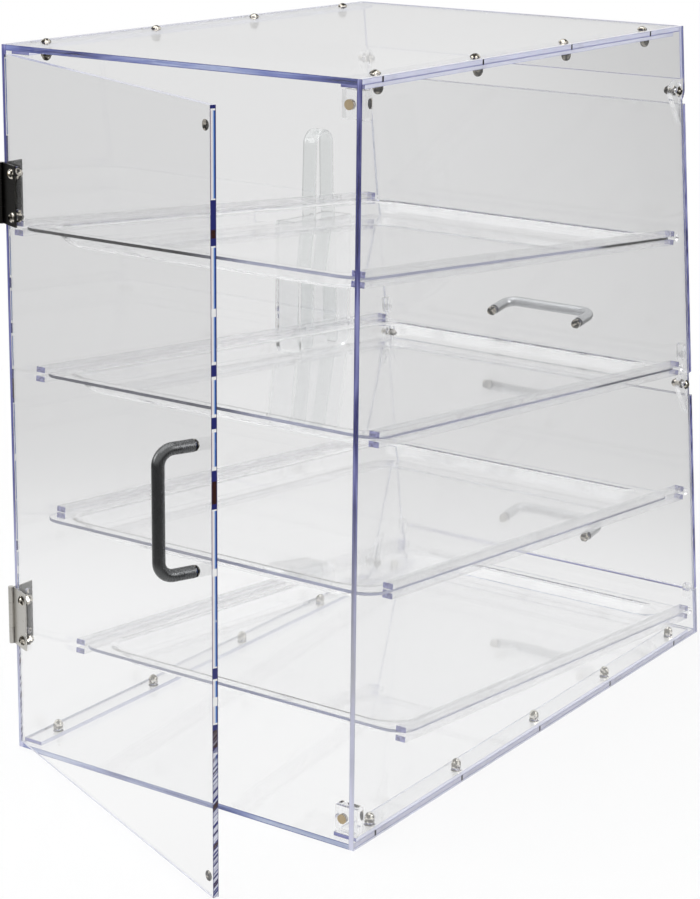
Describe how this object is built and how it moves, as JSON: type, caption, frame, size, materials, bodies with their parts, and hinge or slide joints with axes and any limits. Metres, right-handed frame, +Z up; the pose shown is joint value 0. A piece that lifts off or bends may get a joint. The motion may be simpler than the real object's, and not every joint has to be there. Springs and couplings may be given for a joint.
{
  "type": "countertop bread display bin",
  "caption": "Tall clear countertop bread bin with a leaning front, two flip-up customer doors, sloping pull-out trays, a hinged rear loading door and a tong pocket on one side.",
  "frame": {"origin": "middle of the base of the case, on the counter", "axes": "+Z up, -Y towards the customer side with the leaning front, +Y towards the server side with the rear door, +X towards the tong pocket and the rear door's hinges"},
  "size_m": [0.3866, 0.7831, 0.6122],
  "materials": {
    "clear_sheet": "clear polished plastic sheet with blue-grey edges",
    "clear_moulded": "clear formed plastic",
    "clear_soft": "clear soft plastic",
    "bright_steel": "bright plated steel",
    "satin_nickel": "satin nickel plated steel",
    "dark_satin": "dark satin plated steel",
    "satin_aluminium": "satin aluminium"
  },
  "bodies": {
    "case": {"side_wall_left": "clear_sheet", "side_wall_right": "clear_sheet", "top_panel": "clear_sheet", "bottom_panel": "clear_sheet", "header_strip": "clear_sheet", "kick_strip": "clear_sheet", "top_flange_left": "clear_sheet", "top_flange_right": "clear_sheet", "bottom_flange_left": "clear_sheet", "bottom_flange_right": "clear_sheet", "top_screws": "bright_steel", "top_cap_nuts": "bright_steel", "bottom_screws": "bright_steel", "bottom_cap_nuts": "bright_steel", "rails_1_left": "clear_sheet", "rails_1_right": "clear_sheet", "rails_2_left": "clear_sheet", "rails_2_right": "clear_sheet", "rails_3_left": "clear_sheet", "rails_3_right": "clear_sheet", "rails_4_left": "clear_sheet", "rails_4_right": "clear_sheet", "tray_stop_pegs": "clear_sheet", "catch_blocks": "clear_sheet", "catch_magnets": "bright_steel", "door_rest_tabs": "clear_sheet", "door_bumpers": "clear_soft", "hinge_upper_wall_leaf": "dark_satin", "hinge_lower_wall_leaf": "satin_nickel", "hinge_wall_screws": "bright_steel", "hinge_pins": "satin_nickel", "pivot_screws": "bright_steel", "pivot_cap_nuts": "bright_steel", "tong_pocket": "clear_sheet"},
    "rear_door": {"rear_door_panel": "clear_sheet", "rear_door_handle": "dark_satin", "rear_handle_screws": "bright_steel", "rear_strikers": "bright_steel", "hinge_upper_door_leaf": "dark_satin", "hinge_lower_door_leaf": "satin_nickel", "hinge_door_screws": "bright_steel", "hinge_door_cap_nuts": "bright_steel"},
    "upper_front_door": {"upper_door_panel": "clear_sheet", "upper_door_ears": "clear_sheet", "upper_door_handle": "satin_aluminium", "upper_handle_cap_nuts": "bright_steel"},
    "lower_front_door": {"lower_door_panel": "clear_sheet", "lower_door_ears": "clear_sheet", "lower_door_handle": "satin_aluminium", "lower_handle_cap_nuts": "bright_steel"},
    "tray_1": {"tray_1": "clear_moulded"},
    "tray_2": {"tray_2": "clear_moulded"},
    "tray_3": {"tray_3": "clear_moulded"},
    "tray_4": {"tray_4": "clear_moulded"},
    "tongs": {"tongs": "clear_moulded"}
  },
  "joints": [
    {"name": "rear_door_hinge", "type": "hinge", "parent": "case", "child": "rear_door", "pos_m": [0.1796, 0.30435, 0.3048], "axis": [0, 0, -1], "range_deg": [-23, 227]},
    {"name": "upper_door_pivot", "type": "hinge", "parent": "case", "child": "upper_front_door", "pos_m": [0, -0.20889, 0.55059], "axis": [-1, 0, 0], "range_deg": [0, 90]},
    {"name": "lower_door_pivot", "type": "hinge", "parent": "case", "child": "lower_front_door", "pos_m": [0, -0.25115, 0.2659], "axis": [-1, 0, 0], "range_deg": [0, 90]},
    {"name": "tray_1_slide", "type": "slide", "parent": "case", "child": "tray_1", "axis": [0, 0.996, 0.0889], "range_m": [0, 0.014]},
    {"name": "tray_2_slide", "type": "slide", "parent": "case", "child": "tray_2", "axis": [0, 0.996, 0.0889], "range_m": [0, 0.036]},
    {"name": "tray_3_slide", "type": "slide", "parent": "case", "child": "tray_3", "axis": [0, 0.996, 0.0889], "range_m": [-0.025, 0.033]},
    {"name": "tray_4_slide", "type": "slide", "parent": "case", "child": "tray_4", "axis": [0, 0.996, 0.0889], "range_m": [0, 0.08]},
    {"name": "tongs_lift", "type": "slide", "parent": "case", "child": "tongs", "axis": [0, 0, 1], "range_m": [0, 0.14]}
  ]
}
